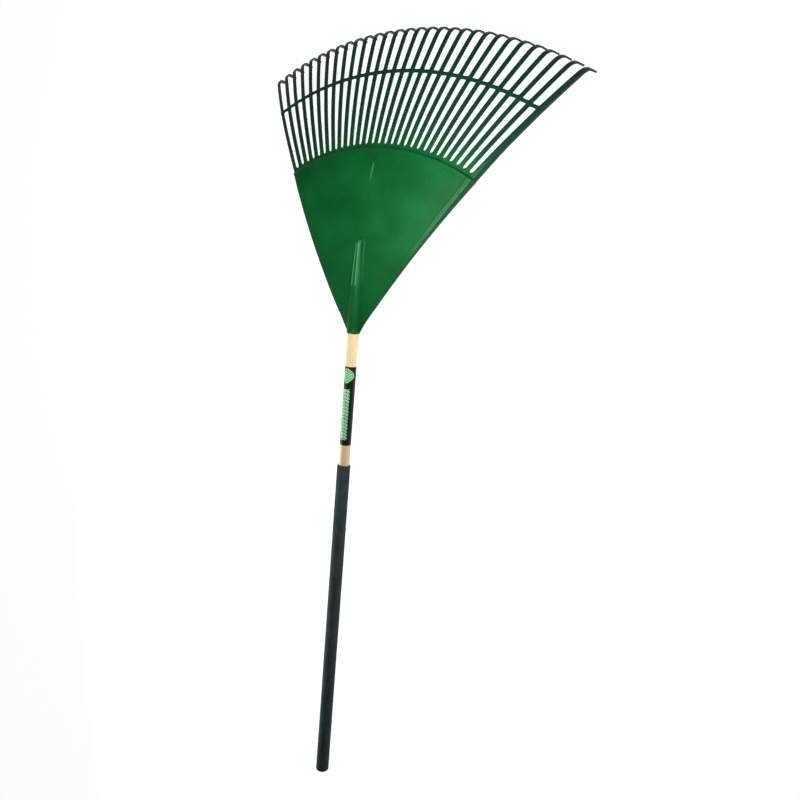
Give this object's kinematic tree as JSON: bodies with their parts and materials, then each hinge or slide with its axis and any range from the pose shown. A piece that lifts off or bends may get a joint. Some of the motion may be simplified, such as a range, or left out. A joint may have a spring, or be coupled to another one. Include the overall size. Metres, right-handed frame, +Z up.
{
  "type": "leaf rake",
  "caption": "Wide fan leaf rake: one-piece green plastic head with long hooked tines tied by a curved crossbar, on a round wooden handle with a long foam grip.",
  "frame": {"origin": "on the ground, under the middle of the rake's bounding box, with the rake lying on its hook tips and the end of its grip", "axes": "+Y from the butt of the handle towards the tine ends, +X across the head, +Z up, out of the head's convex side"},
  "size_m": [0.7738, 1.6894, 0.1707],
  "materials": {
    "head_plastic": "satin",
    "pole_wood": "satin",
    "screw_steel": "satin",
    "grip_foam": "matte",
    "label_film": "satin"
  },
  "bodies": {
    "root": {"palm": "head_plastic", "tine_01": "head_plastic", "tine_02": "head_plastic", "tine_03": "head_plastic", "tine_04": "head_plastic", "tine_05": "head_plastic", "tine_06": "head_plastic", "tine_07": "head_plastic", "tine_08": "head_plastic", "tine_09": "head_plastic", "tine_10": "head_plastic", "tine_11": "head_plastic", "tine_12": "head_plastic", "tine_13": "head_plastic", "tine_14": "head_plastic", "tine_15": "head_plastic", "tine_16": "head_plastic", "tine_17": "head_plastic", "tine_18": "head_plastic", "tine_19": "head_plastic", "tine_20": "head_plastic", "tine_21": "head_plastic", "tine_22": "head_plastic", "tine_23": "head_plastic", "tine_24": "head_plastic", "tine_25": "head_plastic", "tine_26": "head_plastic", "tine_27": "head_plastic", "tine_28": "head_plastic", "tine_29": "head_plastic", "tine_30": "head_plastic", "crossbar": "head_plastic", "handle": "pole_wood", "head_screw": "screw_steel", "foam_grip": "grip_foam", "label": "label_film"}
  },
  "joints": []
}
